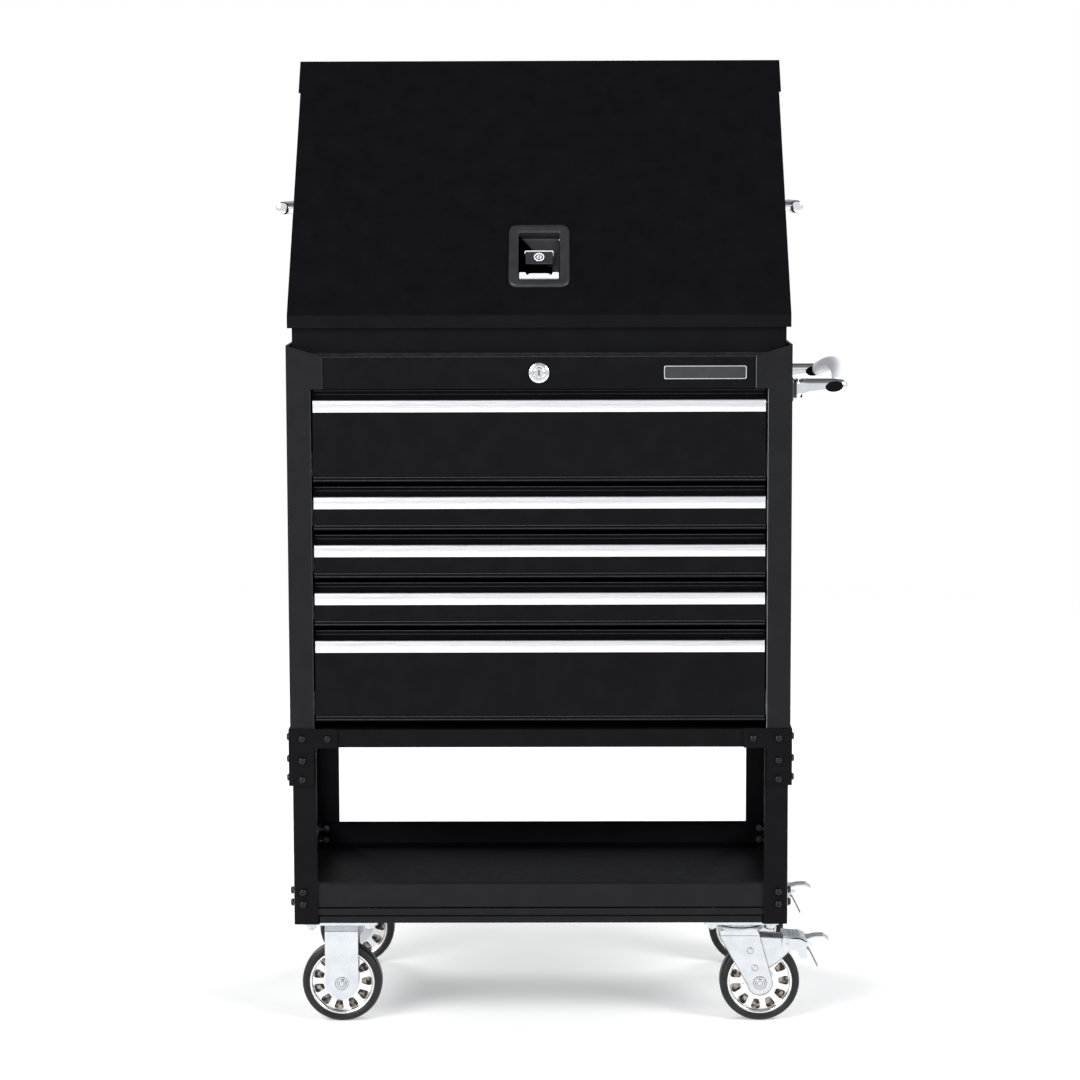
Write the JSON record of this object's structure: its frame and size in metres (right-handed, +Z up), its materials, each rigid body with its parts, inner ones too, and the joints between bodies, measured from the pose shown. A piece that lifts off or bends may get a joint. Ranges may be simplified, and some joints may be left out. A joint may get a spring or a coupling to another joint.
{
  "type": "rolling tool chest",
  "caption": "Steel rolling tool chest: a lidded box with a sloping front on a drawer cabinet, over an open shelf tray on an angle-iron frame with casters.",
  "frame": {"origin": "on the floor under the middle of the whole chest, its side handles included", "axes": "+X to the right seen from the front, where the push handle is; +Y to the back; +Z up"},
  "size_m": [0.89, 0.497, 1.488],
  "materials": {
    "enamel": "fine textured black powder coat",
    "black_fittings": "satin black",
    "zinc": "bright zinc plate",
    "chrome": "polished chrome",
    "alloy": "brushed, clear anodised",
    "rim": "polished cast wheel",
    "tyre": "smooth black polyurethane",
    "mat": "ribbed black liner",
    "seal": "black foam strip"
  },
  "bodies": {
    "chest": {"cabinet_shell": "enamel", "cabinet_floor": "enamel", "top_tray": "enamel", "corner_posts": "enamel", "top_rail": "enamel", "bottom_rail": "enamel", "slide_rails": "zinc", "frame_legs": "enamel", "corner_brackets": "enamel", "shelf_tray": "enamel", "base_rails": "enamel", "frame_bolts": "black_fittings", "push_handle_bar": "chrome", "push_handle_brackets": "chrome", "nameplate": "alloy", "lock_housing": "chrome", "box_shell": "enamel", "box_floor": "mat", "grab_handles": "chrome", "hinge_leaf_box": "zinc", "rigid_forks": "zinc", "swivel_plates": "zinc"},
    "lid": {"lid_panel": "enamel", "hinge_leaf_lid": "zinc", "lid_seal": "seal", "lid_stay_rails": "zinc", "latch_housing": "black_fittings"},
    "paddle": {"latch_paddle": "black_fittings"},
    "key_plug": {"latch_plug": "chrome"},
    "bolt": {"latch_bolt": "zinc"},
    "lid_stays": {"lid_stay_arms": "zinc"},
    "lock": {"lock_plug": "chrome"},
    "lock_bar": {"lock_bar": "zinc"},
    "swivel_front": {"swivel_fork_front": "zinc"},
    "swivel_rear": {"swivel_fork_rear": "zinc"},
    "brake_front": {"brake_pedal_front": "zinc"},
    "brake_rear": {"brake_pedal_rear": "zinc"},
    "drawer_1": {"drawer_1_tray": "enamel", "drawer_1_pull": "alloy"},
    "drawer_1_slide": {"drawer_1_slides": "zinc"},
    "drawer_2": {"drawer_2_tray": "enamel", "drawer_2_pull": "alloy"},
    "drawer_2_slide": {"drawer_2_slides": "zinc"},
    "drawer_3": {"drawer_3_tray": "enamel", "drawer_3_pull": "alloy"},
    "drawer_3_slide": {"drawer_3_slides": "zinc"},
    "drawer_4": {"drawer_4_tray": "enamel", "drawer_4_pull": "alloy"},
    "drawer_4_slide": {"drawer_4_slides": "zinc"},
    "drawer_5": {"drawer_5_tray": "enamel", "drawer_5_pull": "alloy"},
    "drawer_5_slide": {"drawer_5_slides": "zinc"},
    "wheel_left_front": {"rim_left_front": "rim", "tyre_left_front": "tyre"},
    "wheel_right_front": {"rim_right_front": "rim", "tyre_right_front": "tyre"},
    "wheel_left_rear": {"rim_left_rear": "rim", "tyre_left_rear": "tyre"},
    "wheel_right_rear": {"rim_right_rear": "rim", "tyre_right_rear": "tyre"}
  },
  "joints": [
    {"name": "lid_hinge", "type": "hinge", "parent": "chest", "child": "lid", "pos_m": [-0.033, 0.237, 1.4833], "axis": [-1, 0, 0], "range_deg": [0, 70]},
    {"name": "lid_stay_turn", "type": "hinge", "parent": "chest", "child": "lid_stays", "pos_m": [-0.033, 0.14782, 1.403], "axis": [-1, 0, 0], "range_deg": [0, 140]},
    {"name": "latch_paddle_lift", "type": "hinge", "parent": "lid", "child": "paddle", "pos_m": [-0.033, -0.11677, 1.20713], "axis": [-1, 0, 0], "range_deg": [0, 30]},
    {"name": "latch_key_turn", "type": "hinge", "parent": "paddle", "child": "key_plug", "pos_m": [-0.033, -0.15158, 1.18114], "axis": [0, -0.7513, 0.66], "range_deg": [0, 90]},
    {"name": "latch_bolt_slide", "type": "slide", "parent": "lid", "child": "bolt", "axis": [0, 0.66, 0.7513], "range_m": [0, 0.015]},
    {"name": "drawer_1_pull_out", "type": "slide", "parent": "chest", "child": "drawer_1", "axis": [0, -1, 0], "range_m": [0, 0.38]},
    {"name": "drawer_1_slide_run", "type": "slide", "parent": "chest", "child": "drawer_1_slide", "axis": [0, -1, 0], "range_m": [0, 0.19]},
    {"name": "drawer_2_pull_out", "type": "slide", "parent": "chest", "child": "drawer_2", "axis": [0, -1, 0], "range_m": [0, 0.38]},
    {"name": "drawer_2_slide_run", "type": "slide", "parent": "chest", "child": "drawer_2_slide", "axis": [0, -1, 0], "range_m": [0, 0.19]},
    {"name": "drawer_3_pull_out", "type": "slide", "parent": "chest", "child": "drawer_3", "axis": [0, -1, 0], "range_m": [0, 0.38]},
    {"name": "drawer_3_slide_run", "type": "slide", "parent": "chest", "child": "drawer_3_slide", "axis": [0, -1, 0], "range_m": [0, 0.19]},
    {"name": "drawer_4_pull_out", "type": "slide", "parent": "chest", "child": "drawer_4", "axis": [0, -1, 0], "range_m": [0, 0.38]},
    {"name": "drawer_4_slide_run", "type": "slide", "parent": "chest", "child": "drawer_4_slide", "axis": [0, -1, 0], "range_m": [0, 0.19]},
    {"name": "drawer_5_pull_out", "type": "slide", "parent": "chest", "child": "drawer_5", "axis": [0, -1, 0], "range_m": [0, 0.38]},
    {"name": "drawer_5_slide_run", "type": "slide", "parent": "chest", "child": "drawer_5_slide", "axis": [0, -1, 0], "range_m": [0, 0.19]},
    {"name": "lock_turn", "type": "hinge", "parent": "chest", "child": "lock", "pos_m": [-0.033, 0, 1.011], "axis": [0, -1, 0], "range_deg": [0, 90]},
    {"name": "lock_bar_lift", "type": "slide", "parent": "chest", "child": "lock_bar", "axis": [0, 0, 1], "range_m": [0, 0.01]},
    {"name": "swivel_front_turn", "type": "hinge", "parent": "chest", "child": "swivel_front", "pos_m": [0.276, -0.1795, 0], "axis": [0, 0, 1], "continuous": true},
    {"name": "brake_front_press", "type": "hinge", "parent": "swivel_front", "child": "brake_front", "pos_m": [0.348, -0.1795, 0.122], "axis": [0, 1, 0], "range_deg": [0, 8]},
    {"name": "wheel_left_front_roll", "type": "hinge", "parent": "chest", "child": "wheel_left_front", "pos_m": [-0.342, -0.1795, 0.062], "axis": [0, 1, 0], "continuous": true},
    {"name": "wheel_right_front_roll", "type": "hinge", "parent": "swivel_front", "child": "wheel_right_front", "pos_m": [0.306, -0.1795, 0.062], "axis": [0, 1, 0], "continuous": true},
    {"name": "swivel_rear_turn", "type": "hinge", "parent": "chest", "child": "swivel_rear", "pos_m": [0.276, 0.1795, 0], "axis": [0, 0, 1], "continuous": true},
    {"name": "brake_rear_press", "type": "hinge", "parent": "swivel_rear", "child": "brake_rear", "pos_m": [0.348, 0.1795, 0.122], "axis": [0, 1, 0], "range_deg": [0, 8]},
    {"name": "wheel_left_rear_roll", "type": "hinge", "parent": "chest", "child": "wheel_left_rear", "pos_m": [-0.342, 0.1795, 0.062], "axis": [0, 1, 0], "continuous": true},
    {"name": "wheel_right_rear_roll", "type": "hinge", "parent": "swivel_rear", "child": "wheel_right_rear", "pos_m": [0.306, 0.1795, 0.062], "axis": [0, 1, 0], "continuous": true}
  ],
  "couplings": [
    {"joint": "lid_stay_turn", "follows": "lid_hinge", "ratio": 2},
    {"joint": "latch_bolt_slide", "follows": "latch_paddle_lift", "m_per_rad": 0.028648},
    {"joint": "drawer_1_slide_run", "follows": "drawer_1_pull_out", "ratio": 0.5},
    {"joint": "drawer_2_slide_run", "follows": "drawer_2_pull_out", "ratio": 0.5},
    {"joint": "drawer_3_slide_run", "follows": "drawer_3_pull_out", "ratio": 0.5},
    {"joint": "drawer_4_slide_run", "follows": "drawer_4_pull_out", "ratio": 0.5},
    {"joint": "drawer_5_slide_run", "follows": "drawer_5_pull_out", "ratio": 0.5},
    {"joint": "lock_turn", "follows": "lock_bar_lift", "rad_per_m": 157.08}
  ]
}
